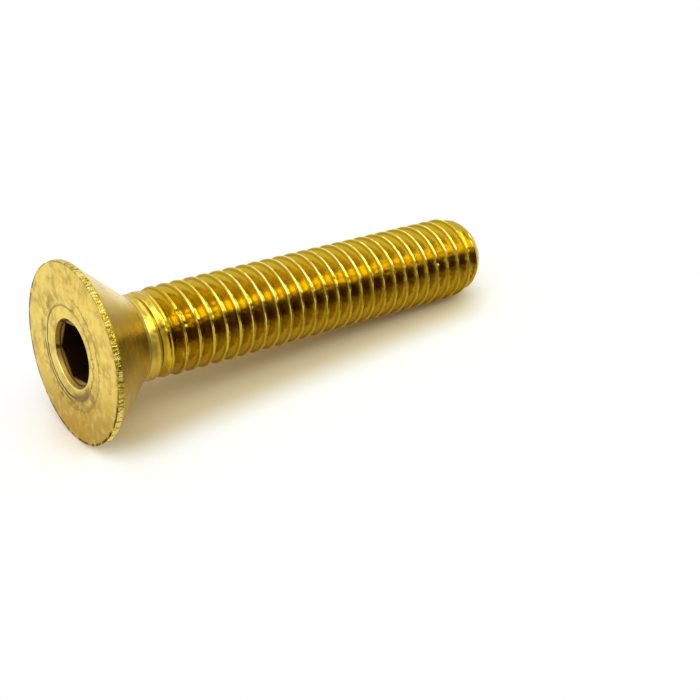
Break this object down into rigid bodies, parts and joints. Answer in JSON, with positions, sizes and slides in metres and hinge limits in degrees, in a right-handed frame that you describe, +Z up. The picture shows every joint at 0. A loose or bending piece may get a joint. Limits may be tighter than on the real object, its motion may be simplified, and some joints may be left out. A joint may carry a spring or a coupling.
{
  "type": "machine screw",
  "caption": "Flat countersunk machine screw with a hexagon socket, a coarse rolled thread to the head and a flat bevelled point, lying on its side.",
  "frame": {"origin": "bottom centre of the box round the lying screw, on the surface that it lies on", "axes": "+X from the head towards the point, level, in the plane of the screw's axis; +Z up; the axis itself dips 5.54 degrees towards the point"},
  "size_m": [0.0516, 0.0184, 0.0184],
  "materials": {
    "brass": "rolled and tumbled, lightly tarnished"
  },
  "bodies": {
    "root": {"screw": "brass"}
  },
  "joints": []
}
